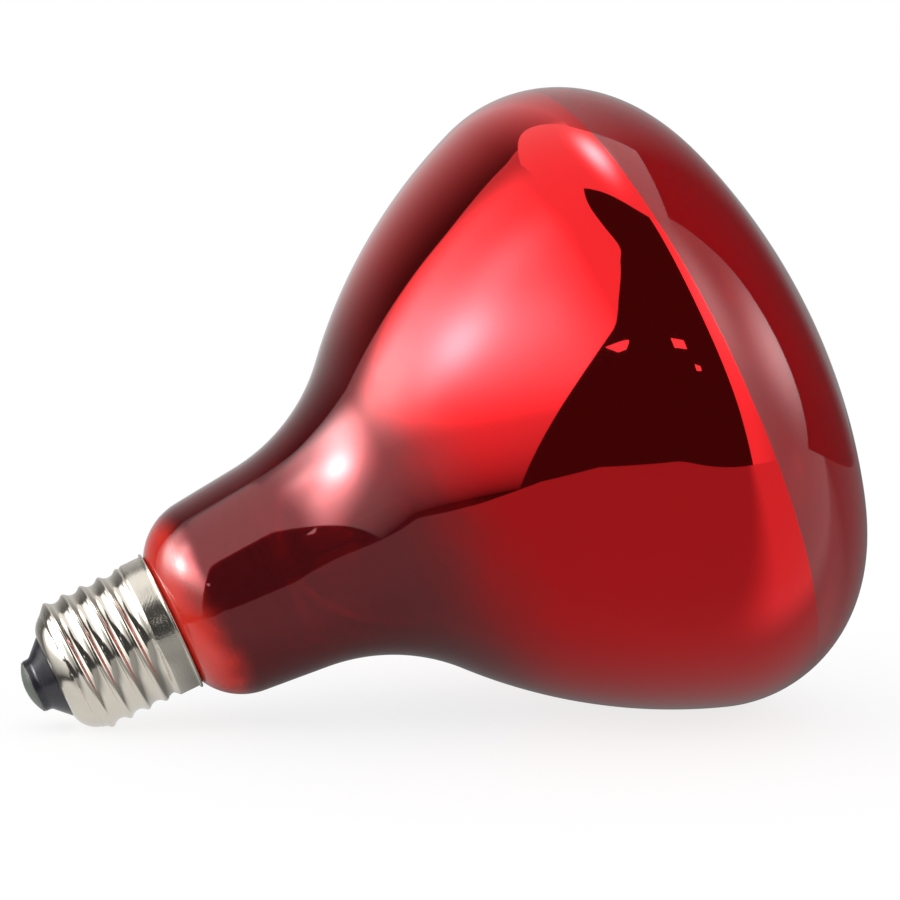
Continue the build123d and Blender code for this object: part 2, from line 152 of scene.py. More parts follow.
class ScrewCapSettings(bpy.types.PropertyGroup):
    """Sizes and colours of the cap: threaded shell, insulator, contact and solder."""

    crest_radius: length("Crest radius", "Radius of the thread's crests", 13.1)
    core_radius: length("Core radius", "Radius of the rolled core between the crests", 12.2835)
    pitch: length("Pitch", "Rise of the thread in one turn", 3.629)
    crest_form: length("Crest form", "Radius of the crest's arc", 0.6)
    root_form: length("Root form", "Radius of the root's arc", 1.82)
    flank_angle: angle("Flank angle", "Slope of the flank between the arcs", 48.4)
    first_crest: length("First crest", "Station of the first crest at the lamp's top", -19.8)
    shell_length: length("Shell length", "From the rim to the nose", 23.9)
    nose_radius: length("Nose radius", "Radius of the rounded nose", 5.2)
    run_in_sink: length("Run-in sink", "How far the run-in cone starts inside the nose", 0.15)
    run_in_turn: angle("Run-in turn", "Turn over which the first crest rises", 50)
    skirt_radius: length("Skirt radius", "Radius of the plain skirt", 13.22)
    skirt_length: length("Skirt length", "Length of the plain skirt", 4.4)
    skirt_round: length("Skirt round", "Rounding where the step meets the skirt", 0.4)
    step_round: length("Step round", "Rounding where the core meets the step", 0.5)
    grain_fade: length("Grain fade", "Length over which the skirt's grain fades", 1.2)
    lip_width: length("Lip width", "How far the rim's lip stands out", 0.45)
    lip_thickness: length("Lip thickness", "Thickness of the rim's lip", 0.5)
    lip_round: length("Lip round", "Rounding of the lip's edges", 0.18)
    lip_foot_round: length("Lip foot round", "Rounding between the skirt and the lip", 0.12)
    sheet: length("Sheet", "Thickness of the rolled sheet", 0.35)
    opening_radius: length("Opening radius", "Radius of the hole in the nose", 8.0)
    insulator_height: length("Insulator height", "How far the black glass stands out of the nose", 4.1)
    insulator_depth: length("Insulator depth", "How far the black glass reaches into the nose", 3.4)
    insulator_land: length("Insulator land", "Height of the straight boss", 1.2)
    insulator_fillet: length("Insulator fillet", "Radius between the boss and the cone", 1.0)
    boss_radius: length("Boss radius", "Radius of the boss under the contact", 5.1)
    boss_round: length("Boss round", "Rounding of the boss's edge", 0.14)
    contact_radius: length("Contact radius", "Radius of the contact plate", 4.95)
    contact_edge: length("Contact edge", "Straight edge of the contact plate", 0.3)
    contact_crown: length("Contact crown", "Rise of the contact's crown", 1.4)
    contact_web: length("Contact web", "Depth of the dished middle's floor", 0.6)
    solder_radius: length("Solder radius", "Radius of the solder dot", 2.2)
    lead_radius: length("Lead radius", "Radius of the hole for the lead wire", 0.4)
    nickel: colour("Nickel", "Plating of the shell", (0.85, 0.79, 0.69))
    black_glass: colour("Black glass", "Insulator", (0.012, 0.012, 0.017))
    contact: colour("Contact", "Tinned contact plate", (0.23, 0.245, 0.22))
    solder: colour("Solder", "Solder dot", (0.30, 0.31, 0.29))
    turns: count("Turns", "Grid steps round the axis", 256)
    thread_rows: count("Thread rows", "Grid steps along the thread", 200)


class FilamentSettings(bpy.types.PropertyGroup):
    """Sizes and colours of the coil and of the pieces inside the glass."""

    station: length("Station", "Station of the filament's ring", 52)
    ring_radius: length("Ring radius", "Radius of the ring that the coil follows", 11)
    coil_radius: length("Coil radius", "Outer radius of the coil", 0.8)
    wire_radius: length("Wire radius", "Radius of the tungsten wire", 0.14)
    coil_pitch: length("Coil pitch", "Distance between two turns of the coil", 0.52)
    end_gap: length("End gap", "Distance from the lead's axis to the coil", 0.45)
    tungsten: colour("Tungsten", "Coiled wire", (0.22, 0.21, 0.205))
    nickel_wire: colour("Lead wire", "Nickel lead wires", (0.55, 0.53, 0.49))
    hook_wire: colour("Hook wire", "Molybdenum hooks", (0.40, 0.39, 0.38))
    shield: colour("Shield", "Rolled heat shield", (0.70, 0.70, 0.69))
    cement: colour("Cement", "Baked cement in the skirt", (0.74, 0.66, 0.54))
    clear_glass: colour("Clear glass", "Stem, rod and exhaust tube", (0.90, 0.94, 0.93))


class StudioSettings(bpy.types.PropertyGroup):
    """Camera, floor and lights."""

    camera: FloatVectorProperty(
        name="Camera", description="Place of the camera", default=(-0.0995, -0.4830, 0.0900), size=3,
        unit="LENGTH", subtype="TRANSLATION", precision=4,
    )
    yaw: angle("Yaw", "Camera's turn from +Y towards +X", 11.88)
    pitch: angle("Pitch", "Camera's tilt, negative when it looks down", -4.59)
    lens: FloatProperty(name="Lens", description="Focal length in millimetres", default=104.5, min=1.0)
    floor: colour("Floor", "White table and background", (1.0, 1.0, 1.0))
    floor_glow: share("Floor glow", "Share of the floor's white that no shadow darkens", 0.8)
    # Brightness of the table that mirrors see: the extra brightness at its left end and in the pool at the
    # right front is painted light, and its dimming behind the lamp is painted shadow
    mirrored_floor: share("Mirrored floor", "Brightness of the table in the bulb's mirror", 0.33)
    mirrored_lit_edge: share("Mirrored edge", "Extra brightness of the table under the cap", 0.5)
    mirrored_light_pool: share("Mirrored pool", "Extra brightness of the table at the right front", 0.33)
    key: share("Key", "Power of the left lamp in watts", 1.6)
    fill: share("Fill", "Power of the right lamp in watts", 0.8)
    left_panel: share("Left panel", "Brightness of the left softbox in reflections", 2.3)
    left_hot: share("Left hot spots", "Extra brightness of its hot spots", 7.6)
    right_panel: share("Right panel", "Brightness of the right softbox in reflections", 0.95)
    right_hot: share("Right hot spots", "Extra brightness of its hot spots", 2.8)
    ceiling: share("Ceiling", "Brightness of the ceiling in reflections", 0.98)
    top_hot: share("Top hot spot", "Extra brightness of the lamp overhead", 13.5)
    below: share("Below", "Brightness under the table's level in reflections", 0.7)
    room: share("Room", "Brightness of the dark room in reflections", 0.05)
    windows: share("Windows", "Brightness of the small windows in reflections", 1.8)
    back: share("Back", "Extra brightness of the room's back in reflections", 0.56)


# Profiles in the plane of station and radius
def line(start, end, steps):
    """Return points evenly from start to end, without the end: start + share * (end - start)."""
    part = np.arange(steps)[:, None] / steps
    return np.asarray(start) + part * (np.asarray(end) - np.asarray(start))


def arc(centre, start, end, steps):
    """Return points on the shorter arc about a centre from start to end, without the end."""
    centre = np.asarray(centre)
    spoke_a = np.asarray(start) - centre
    spoke_b = np.asarray(end) - centre
    turn_a = math.atan2(spoke_a[1], spoke_a[0])
    turn_b = math.atan2(spoke_b[1], spoke_b[0])
    sweep = (turn_b - turn_a + math.pi) % (2 * math.pi) - math.pi
    turn = turn_a + sweep * np.arange(steps) / steps
    return centre + math.hypot(*spoke_a) * np.stack((np.cos(turn), np.sin(turn)), axis=1)


def unit(vectors):
    """Return vectors with the length 1."""
    return vectors / np.linalg.norm(vectors, axis=-1, keepdims=True)


def rounded(before, corner, after, radius, steps):
    """Return the arc of a given radius that rounds a corner between two straight runs."""
    corner = np.asarray(corner)
    way_a = unit(np.asarray(before) - corner)
    way_b = unit(np.asarray(after) - corner)
    half = math.acos(np.clip(way_a @ way_b, -1, 1)) / 2
    reach = radius / math.tan(half)
    centre = corner + unit(way_a + way_b) * radius / math.sin(half)
    end = corner + way_b * reach
    return np.vstack((arc(centre, corner + way_a * reach, end, steps), end))


def toward(start, end, distance):
    """Return the point at a distance from start on the way to end."""
    return np.asarray(start) + distance * unit(np.asarray(end) - start)


def smooth_step(value, low, high):
    """Return 0 below low and 1 above high, with a smooth rise between."""
    part = np.clip((value - low) / (high - low), 0.0, 1.0)
    return part * part * (3 - 2 * part)


# Meshes
def lamp_points(station, radius, turn):
    """Point = rim + station along the axis + radius along the spoke cos(turn) side + sin(turn) up."""
    spoke = np.cos(turn)[..., None] * AXIS_SIDE + np.sin(turn)[..., None] * AXIS_UP
    return RIM_POINT + station[..., None] * AXIS_WAY + radius[..., None] * spoke


def lamp_places(points):
    """Return each point as station, side and up, which the materials read as the attribute place."""
    offset = points - RIM_POINT
    return np.stack((offset @ AXIS_WAY, offset @ AXIS_SIDE, offset @ AXIS_UP), axis=-1)


def add_mesh(name, points, quads, triangles, crease):
    """Put points and faces into a new object, smooth but for edges sharper than the crease angle."""
    mesh = bpy.data.meshes.new(name)
    corners = np.concatenate((quads.ravel(), triangles.ravel())).astype(np.int32)
    sizes = np.concatenate((np.full(len(quads), 4), np.full(len(triangles), 3)))
    starts = np.concatenate(([0], np.cumsum(sizes)[:-1])).astype(np.int32)
    mesh.vertices.add(len(points))
    mesh.vertices.foreach_set("co", points.astype(np.float32).ravel())
    mesh.loops.add(len(corners))
    mesh.loops.foreach_set("vertex_index", corners)
    mesh.polygons.add(len(starts))
    mesh.polygons.foreach_set("loop_start", starts)
    mesh.polygons.foreach_set("use_smooth", np.ones(len(starts), dtype=bool))
    place = mesh.attributes.new("place", "FLOAT_VECTOR", "POINT")
    place.data.foreach_set("vector", lamp_places(points).astype(np.float32).ravel())
    mesh.update(calc_edges=True)
    if mesh.validate():
        raise RuntimeError(f"{name}: its faces don't make a valid mesh")
    mesh.set_sharp_from_angle(angle=crease)
    piece = bpy.data.objects.new(name, mesh)
    bpy.context.scene.collection.objects.link(piece)
    return piece


def turned_piece(name, station, radius, turns, closed):
    """Turn a profile about the lamp's axis into a closed mesh.

    Row i, column j lies at station[i], radius[i, j] and the turn 2 pi j / turns. A row of no radius
    is one point, and between two such rows the surface is open to let a hollow piece have two skins.
    Faces point outwards where the profile runs towards the dome on the outside.
    """
    radius = np.broadcast_to(radius if radius.ndim == 2 else radius[:, None], (len(station), turns))
    pole = radius.max(axis=1) < ON_AXIS
    column = np.arange(turns)
    first = np.concatenate(([0], np.cumsum(np.where(pole, 1, turns))[:-1]))
    index = first[:, None] + np.where(pole[:, None], 0, column)
    turn = np.broadcast_to(2 * np.pi * column / turns, radius.shape)
    grid = lamp_points(np.broadcast_to(station[:, None], radius.shape), radius, turn)
    kept = ~pole[:, None] | (column == 0)
    low = index if closed else index[:-1]
    high = np.roll(index, -1, axis=0) if closed else index[1:]
    low_pole = pole if closed else pole[:-1]
    high_pole = np.roll(pole, -1) if closed else pole[1:]
    ring = np.stack((low, np.roll(low, -1, axis=1), np.roll(high, -1, axis=1), high), axis=-1)
    quads = ring[~low_pole & ~high_pole].reshape(-1, 4)
    opening = ring[low_pole & ~high_pole][..., [0, 2, 3]].reshape(-1, 3)
    closing = ring[~low_pole & high_pole][..., [0, 1, 2]].reshape(-1, 3)
    return add_mesh(name, grid[kept], quads, np.vstack((opening, closing)), CREASE)


def dress(piece, slot, *nodes):
    """Let a finished piece ride on the lamp and stand for its nodes; its slot is not used."""
    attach(piece, BODY)
    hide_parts(*nodes)


# Materials
GLASS_IOR = 1.5
BLACK_GLASS_IOR = 1.55

# Sockets of a mix node that carry its factor, its two colours and its result
MIX_FACTOR = 0
MIX_FIRST = 6
MIX_SECOND = 7
MIX_RESULT = 2


def fill(tree, target, inputs):
    """Fill a node's inputs with values or links."""
    for key, value in inputs.items():
        if isinstance(value, bpy.types.NodeSocket):
            tree.links.new(value, target.inputs[key])
        else:
            target.inputs[key].default_value = value


def node(tree, kind, inputs=None, **settings):
    """Add a node with its own settings, and fill its inputs."""
    made = tree.nodes.new(kind)
    for key, value in settings.items():
        setattr(made, key, value)
    fill(tree, made, inputs or {})
    return made


def rgba(value, strength=1.0):
    """Return a colour property as four numbers, made lighter or darker by a factor."""
    return (*(min(1.0, part * strength) for part in value), 1.0)


def empty_material(name):
    """Return a new material and its node tree, with no nodes in it."""
    material = bpy.data.materials.new(name)
    material.use_nodes = True
    material.node_tree.nodes.clear()
    return material, material.node_tree


def show(tree, surface):
    """Show a shader on the surface."""
    node(tree, "ShaderNodeOutputMaterial", {"Surface": surface})


def principled(name):
    """Return a new material with its node tree and its principled shader."""
    material, tree = empty_material(name)
    shader = node(tree, "ShaderNodeBsdfPrincipled")
    show(tree, shader.outputs["BSDF"])
    return material, tree, shader


def lamp_place(tree):
    """Return the attribute place: station, side and up."""
    return node(tree, "ShaderNodeAttribute", attribute_name="place").outputs["Vector"]


def object_place(tree):
    """Return the Object coordinates."""
    return node(tree, "ShaderNodeTexCoord").outputs["Object"]


def part_of(tree, vector, axis):
    """Return one part of a vector."""
    return node(tree, "ShaderNodeSeparateXYZ", {"Vector": vector}).outputs[axis]


def map_range(tree, value, low, high, out_low=0.0, out_high=1.0, smooth=False):
    """Return value carried from low..high to out_low..out_high, held at the ends."""
    inputs = {"Value": value, "From Min": low, "From Max": high, "To Min": out_low, "To Max": out_high}
    kind = "SMOOTHSTEP" if smooth else "LINEAR"
    return node(tree, "ShaderNodeMapRange", inputs, interpolation_type=kind).outputs["Result"]


def math_node(tree, operation, first, second, third=0.0):
    """Return the result of one sum of two or three values."""
    inputs = {0: first, 1: second, 2: third}
    return node(tree, "ShaderNodeMath", inputs, operation=operation).outputs["Value"]


def noise(tree, vector, scale, detail=3.0, stretch=None):
    """Return fine noise on a vector, stretched along its axes where asked."""
    if stretch:
        vector = node(tree, "ShaderNodeMapping", {"Vector": vector, "Scale": stretch}).outputs["Vector"]
    inputs = {"Vector": vector, "Scale": scale, "Detail": detail, "Roughness": 0.55}
    return node(tree, "ShaderNodeTexNoise", inputs).outputs["Fac"]


def spread(tree, value, low, high, reach=0.2):
    """Return noise carried from 0.5 - reach..0.5 + reach, where most of it lies, to low..high."""
    return map_range(tree, value, 0.5 - reach, 0.5 + reach, low, high)


def mix_colour(tree, factor, first, second):
    """Return first and second mixed by a factor."""
    inputs = {MIX_FACTOR: factor, MIX_FIRST: first, MIX_SECOND: second}
    return node(tree, "ShaderNodeMix", inputs, data_type="RGBA").outputs[MIX_RESULT]


def mottled(tree, factor, tone, dark, light):
    """Return a tone that a factor carries from its dark share to its light share."""
    return mix_colour(tree, factor, rgba(tone, dark), rgba(tone, light))


def bump(tree, height, strength, distance):
    """Return the normal that a height bends."""
    inputs = {"Height": height, "Strength": strength, "Distance": distance}
    return node(tree, "ShaderNodeBump", inputs).outputs["Normal"]


def ruby_glass(name, bulb, mirror_colour, smear, thin_share):
    """Return red glass by station: bare band at the cap, dark neck, mirror, bare dome.

    The mirror is a metal behind the glass, so its share is the metallic share. It is thin on the
    neck, thickens along the flare and ends in a sharp edge at the front. The glass at the cap is
    a little milky, so part of its red is its own.
    """
    material, tree, shader = principled(name)
    place = lamp_place(tree)
    station = part_of(tree, place, "X")
    cloud = noise(tree, place, 45.0)
    fine = noise(tree, place, 900.0, detail=2.0)
    drift = spread(tree, cloud, -bulb.coat_drift, bulb.coat_drift)
    ragged = spread(tree, fine, -bulb.coat_ragged, bulb.coat_ragged)
    soft_station = math_node(tree, "ADD", station, drift)
    edge_station = math_node(tree, "ADD", station, ragged)
    fade = map_range(tree, soft_station, bulb.coat_start, bulb.coat_full, smooth=True)
    edge_start = bulb.coat_front - bulb.coat_edge
    edge_end = bulb.coat_front + bulb.coat_edge
    front = map_range(tree, edge_station, edge_start, edge_end, 1.0, 0.0)
    darkened = map_range(tree, soft_station, bulb.band_start, bulb.band_end, smooth=True)
    thin_coat = math_node(tree, "MULTIPLY", darkened, thin_share)
    coat = math_node(tree, "MULTIPLY", math_node(tree, "MAXIMUM", fade, thin_coat), front)
    past_neck = map_range(tree, station, bulb.coat_full, bulb.coat_front - bulb.tint_end)
    bare = mix_colour(tree, darkened, rgba(bulb.clear_band), rgba(bulb.dark_neck))
    bare = mix_colour(tree, past_neck, bare, rgba(bulb.dome))
    mirror = mottled(tree, cloud, mirror_colour, 0.9, 1.0)
    waves = noise(tree, place, 14.0, detail=1.0)
    fill(tree, shader, {
        "Base Color": mix_colour(tree, coat, bare, mirror),
        "Metallic": coat,
        "Roughness": spread(tree, cloud, smear, smear * 3, reach=0.25),
        "Transmission Weight": map_range(tree, darkened, 0.0, 1.0, 0.45, 0.85),
        "IOR": GLASS_IOR,
        "Specular IOR Level": 0.3,
        "Coat Weight": 0.5,
        "Coat Roughness": 0.05,
        "Coat IOR": GLASS_IOR,
        "Normal": bump(tree, waves, 0.05, 1.0 * MM),
    })
    return material


def nickel_plate(cap):
    """Return bright nickel with fine turning lines, dull patches and a skin that is grainy on the skirt."""
    material, tree, shader = principled("nickel_plate")
    place = lamp_place(tree)
    station = part_of(tree, place, "X")
    lines = noise(tree, place, 120.0, detail=4.0, stretch=(14.0, 0.6, 0.6))
    grain = noise(tree, place, 2600.0, detail=2.0)
    patches = noise(tree, place, 170.0, detail=4.0)
    dull = math_node(tree, "MULTIPLY_ADD", lines, 0.10, math_node(tree, "MULTIPLY", patches, 0.14))
    skirt = -cap.skirt_length
    on_skirt = map_range(tree, station, skirt - cap.grain_fade, skirt, 0.35, 7.0, True)
    skin = math_node(tree, "MULTIPLY_ADD", lines, 0.5, math_node(tree, "MULTIPLY", grain, on_skirt))
    fill(tree, shader, {
        "Base Color": mottled(tree, patches, cap.nickel, 0.9, 1.06),
        "Metallic": 1.0,
        "Roughness": math_node(tree, "MULTIPLY_ADD", on_skirt, 0.008, dull),
        "Normal": bump(tree, skin, 0.12, 0.05 * MM),
    })
    return material


def black_glass(cap):
    """Return fired black glass: glossy, with flow streaks round the axis and dull specks."""
    material, tree, shader = principled("black_glass")
    place = lamp_place(tree)
    flow = noise(tree, place, 300.0, detail=4.0, stretch=(3.0, 1.0, 1.0))
    specks = noise(tree, place, 2400.0, detail=2.0)
    skin = math_node(tree, "MULTIPLY_ADD", specks, 0.3, flow)
    fill(tree, shader, {
        "Base Color": mottled(tree, flow, cap.black_glass, 0.6, 2.2),
        "Roughness": spread(tree, flow, 0.12, 0.3),
        "IOR": BLACK_GLASS_IOR,
        "Normal": bump(tree, skin, 0.25, 0.12 * MM),
    })
    return material


# Dull finishes: least and greatest roughness, scale of the noise, height of the skin, metallic share
DULL_FINISHES = {
    "contact_metal": (0.42, 0.6, 420.0, 0.05 * MM, 0.85),
    "solder": (0.36, 0.55, 520.0, 0.1 * MM, 0.85),
    "tungsten": (0.3, 0.5, 700.0, 0.02 * MM, 1.0),
    "lead_wire": (0.22, 0.4, 600.0, 0.03 * MM, 1.0),
    "hook_wire": (0.28, 0.45, 700.0, 0.02 * MM, 1.0),
    "shield_metal": (0.2, 0.4, 260.0, 0.05 * MM, 1.0),
    "cement": (0.75, 0.95, 500.0, 0.3 * MM, 0.0),
}


def dull_finish(name, tone):
    """Return a dull finish on Object coordinates: cloudy tone, uneven gloss and a cast or drawn skin."""
    least, greatest, scale, relief, metal = DULL_FINISHES[name]
    material, tree, shader = principled(name)
    place = object_place(tree)
    clouds = noise(tree, place, scale, detail=5.0)
    grain = noise(tree, place, scale * 7)
    skin = math_node(tree, "MULTIPLY_ADD", grain, 0.5, clouds)
    fill(tree, shader, {
        "Base Color": mottled(tree, clouds, tone, 0.72, 1.22),
        "Metallic": metal,
        "Roughness": spread(tree, clouds, least, greatest),
        "Normal": bump(tree, skin, 0.4, relief),
    })
    return material


def clear_glass(inner):
    """Return clear glass with a faint tint that drifts and a slightly smoked surface."""
    material, tree, shader = principled("clear_glass")
    drift = noise(tree, object_place(tree), 120.0)
    fill(tree, shader, {
        "Base Color": mottled(tree, drift, inner.clear_glass, 0.9, 1.04),
        "Roughness": spread(tree, drift, 0.02, 0.08),
        "Transmission Weight": 1.0,
        "IOR": GLASS_IOR,
    })
    return material


# Glass bulb
def bulb_profile(bulb, inset, steps):
    """Return the bulb's outline from the seal to the dome's tip, moved in by an inset.

    It is a straight seal, a fillet, a shoulder arc, a straight neck, a hollow flare, the reflector's
    arc, the rim's arc and the dome's arc, each tangent to the next.
    """
    normal = np.array((-math.sin(bulb.neck_taper), math.cos(bulb.neck_taper)))
    neck_end = np.array((bulb.neck_length, bulb.neck_diameter / 2))
    flare_centre = neck_end + bulb.flare_radius * normal
    rim_centre = np.array((bulb.neck_length + bulb.reflector_depth, bulb.diameter / 2 - bulb.rim_radius))
    reach_a = bulb.reflector_radius + bulb.flare_radius
    reach_b = bulb.reflector_radius - bulb.rim_radius
    span = np.linalg.norm(rim_centre - flare_centre)
    way = (rim_centre - flare_centre) / span
    along = (span**2 + reach_a**2 - reach_b**2) / (2 * span)
    aside = math.sqrt(reach_a**2 - along**2)
    reflector_centre = flare_centre + along * way + aside * np.array((way[1], -way[0]))
    dome_reach = math.sqrt((bulb.dome_radius - bulb.rim_radius) ** 2 - rim_centre[1] ** 2)
    dome_centre = np.array((rim_centre[0] - dome_reach, 0.0))
    rise = (neck_end - np.array((0.0, bulb.collar_radius))) @ normal
    reach = math.sqrt(rise * (2 * bulb.shoulder_radius - rise))
    slope = np.array((math.cos(bulb.neck_taper), math.sin(bulb.neck_taper)))
    shoulder_centre = np.array((0.0, bulb.collar_radius)) + reach * slope
    shoulder_centre = shoulder_centre + (rise - bulb.shoulder_radius) * normal
    fillet_height = bulb.seal_radius + bulb.seal_fillet
    fillet_span = bulb.shoulder_radius + bulb.seal_fillet
    fillet_reach = math.sqrt(fillet_span**2 - (fillet_height - shoulder_centre[1]) ** 2)
    fillet_centre = np.array((shoulder_centre[0] - fillet_reach, fillet_height))
    seal_end = (-bulb.seal_depth, bulb.seal_radius - inset)
    seal_top = (fillet_centre[0], bulb.seal_radius - inset)
    shoulder_start = toward(shoulder_centre, fillet_centre, bulb.shoulder_radius - inset)
    neck_start = shoulder_centre + (bulb.shoulder_radius - inset) * normal
    flare_start = flare_centre - (bulb.flare_radius + inset) * normal
    flare_end = toward(flare_centre, reflector_centre, bulb.flare_radius + inset)
    rim_start = toward(reflector_centre, rim_centre, bulb.reflector_radius - inset)
    rim_end = toward(dome_centre, rim_centre, bulb.dome_radius - inset)
    tip = dome_centre + np.array((bulb.dome_radius - inset, 0.0))
    return np.vstack((
        line(seal_end, seal_top, steps // 4),
        arc(fillet_centre, seal_top, shoulder_start, steps // 3),
        arc(shoulder_centre, shoulder_start, neck_start, steps),
        line(neck_start, flare_start, steps // 2),
        arc(flare_centre, flare_start, flare_end, 2 * steps),
        arc(reflector_centre, flare_end, rim_start, 3 * steps),
        arc(rim_centre, rim_start, rim_end, 2 * steps),
        arc(dome_centre, rim_end, tip, 2 * steps),
        tip,
    ))


class HEATLAMP_OT_glass_bulb(bpy.types.Operator):
    """Blow the red bulb: an outer and an inner skin that meet at the seal, with the mirror coat"""

    bl_idname = "heat_lamp.glass_bulb"
    bl_label = "Glass bulb"

    def execute(self, context):
        bulb = context.scene.heat_lamp_bulb
        outer = bulb_profile(bulb, 0.0, bulb.outer_steps)
        inner = bulb_profile(bulb, bulb.wall, bulb.inner_steps)[::-1]
        profile = np.vstack((outer, inner))
        profile[np.abs(profile[:, 1]) < ON_AXIS, 1] = 0.0
        piece = turned_piece("ruby_bulb", *profile.T, bulb.turns, closed=True)
        outside = ruby_glass("ruby_glass", bulb, bulb.mirror, smear=0.012, thin_share=0.04)
        inside = ruby_glass("ruby_glass_inside", bulb, bulb.silver, smear=0.03, thin_share=0.85)
        piece.data.materials.append(outside)
        piece.data.materials.append(inside)
        outer_quads = (len(outer) - 2) * bulb.turns
        inner_quads = (len(inner) - 2) * bulb.turns
        skin = np.zeros(len(piece.data.polygons), dtype=np.int32)
        skin[outer_quads:outer_quads + inner_quads] = 1
        skin[-2 * bulb.turns:-bulb.turns] = 1
        piece.data.polygons.foreach_set("material_index", skin)
        dress(piece, "ruby_glass", "glass_bulb")
        return {"FINISHED"}


# Screw cap
def thread_height(cap, distance):
    """Return the thread's radius at an axial distance from its crest.

    A narrow crest arc, a straight flank at the flank angle and a wide root arc make up half a pitch,
    and the other half mirrors it.
    """
    half_pitch = cap.pitch / 2
    steep = math.sin(cap.flank_angle)
    crest_reach = cap.crest_form * steep
    root_reach = cap.root_form * steep
    crest_drop = cap.crest_form * (1 - math.cos(cap.flank_angle))
    root_rise = cap.root_form * (1 - math.cos(cap.flank_angle))
    flank_run = half_pitch - crest_reach - root_reach
    depth = crest_drop + root_rise + flank_run * math.tan(cap.flank_angle)
    off = np.abs((distance + half_pitch) % cap.pitch - half_pitch)
    crest = np.sqrt(np.maximum(cap.crest_form**2 - off**2, 0)) - cap.crest_form
    root = cap.root_form - depth - np.sqrt(np.maximum(cap.root_form**2 - (half_pitch - off) ** 2, 0))
    flank = -crest_drop - (off - crest_reach) * math.tan(cap.flank_angle)
    height = np.where(off < crest_reach, crest, np.where(off > half_pitch - root_reach, root, flank))
    return cap.crest_radius + height


def nose_arc(cap, inset):
    """Return the centre of the nose's arc, and where that arc, moved in by an inset, meets the hole."""
    centre = np.array((cap.nose_radius - cap.shell_length, cap.core_radius - cap.nose_radius))
    reach = math.sqrt((cap.nose_radius - inset) ** 2 - (cap.opening_radius - centre[1]) ** 2)
    return centre, (centre[0] - reach, cap.opening_radius)


def shell_outside(cap, turn):
    """Return stations and radii of the shell's outside, from the nose's hole to the rim.

    Radius = the turned blank and the part of the thread that stands out of it. The thread is held
    under a cone that leaves the nose at the flank angle. It has no ridge before its start, and its
    first crest rises smoothly over the first stretch of the turn.
    """
    nose, mouth = nose_arc(cap, 0.0)
    skirt = -cap.skirt_length
    core_start = (nose[0], cap.core_radius)
    step_foot = (skirt + cap.core_radius - cap.skirt_radius, cap.core_radius)
    step_top = (skirt, cap.skirt_radius)
    lip_radius = cap.skirt_radius + cap.lip_width
    lip_back = (-cap.lip_thickness, lip_radius)
    lip_foot = (-cap.lip_thickness, cap.skirt_radius)
    lip_front = (0.0, lip_radius)
    rim = (0.0, cap.skirt_radius - cap.sheet)
    knee_a = rounded(core_start, step_foot, step_top, cap.step_round, 4)
    knee_b = rounded(step_foot, step_top, lip_foot, cap.skirt_round, 5)
    blank = np.vstack((
        arc(nose, mouth, core_start, 48),
        line(core_start, knee_a[0], cap.thread_rows),
        knee_a,
        line(knee_a[-1], knee_b[0], 3)[1:],
        knee_b,
        line(knee_b[-1], lip_foot, 6)[1:],
        rounded(knee_b[-1], lip_foot, lip_back, cap.lip_foot_round, 3),
        rounded(lip_foot, lip_back, lip_front, cap.lip_round, 5),
        rounded(lip_back, lip_front, rim, cap.lip_round, 5),
    ))
    station = blank[:, :1]
    thread_start = cap.first_crest - cap.pitch / 4
    distance = station - thread_start - cap.pitch * turn / (2 * math.pi)
    crest_number = np.floor(distance / cap.pitch + 0.5)
    rise = np.where(crest_number == 0, smooth_step(turn, 0.0, cap.run_in_turn), crest_number > 0)
    offset = cap.nose_radius - cap.run_in_sink
    foot = nose + offset * np.array((-math.sin(cap.flank_angle), math.cos(cap.flank_angle)))
    cone = foot[1] + (station - foot[0]) * math.tan(cap.flank_angle)
    threaded = np.where(station < skirt, np.minimum(thread_height(cap, distance), cone), 0.0)
    ridge = rise * np.maximum(threaded - blank[:, 1:], 0.0)
    return blank[:, 0], blank[:, 1:] + ridge


def shell_inside(cap):
    """Return the shell's inside, from the rim back to the nose's hole, one sheet in from the blank."""
    nose, mouth = nose_arc(cap, cap.sheet)
    core_end = (nose[0], cap.core_radius - cap.sheet)
    step_top = (-cap.skirt_length, cap.skirt_radius - cap.sheet)
    step_foot = (step_top[0] + core_end[1] - step_top[1], core_end[1])
    return np.vstack((
        line((0.0, step_top[1]), step_top, 4),
        line(step_top, step_foot, 2),
        line(step_foot, core_end, 8),
        arc(nose, core_end, mouth, 12),
        mouth,
    ))


class HEATLAMP_OT_screw_shell(bpy.types.Operator):
    """Roll the nickel-plated shell with its helical thread, plain skirt and turned lip"""

    bl_idname = "heat_lamp.screw_shell"
    bl_label = "Screw shell"

    def execute(self, context):
        cap = context.scene.heat_lamp_cap
        turn = 2 * np.pi * np.arange(cap.turns) / cap.turns
        station, radius = shell_outside(cap, turn)
        inside = shell_inside(cap)
        station = np.concatenate((station, inside[:, 0]))
        radius = np.vstack((radius, np.broadcast_to(inside[:, 1:], (len(inside), cap.turns))))
        piece = turned_piece("nickel_shell", station, radius, cap.turns, closed=True)
        piece.data.materials.append(nickel_plate(cap))
        dress(piece, "nickel_plate", "screw_shell")
        return {"FINISHED"}


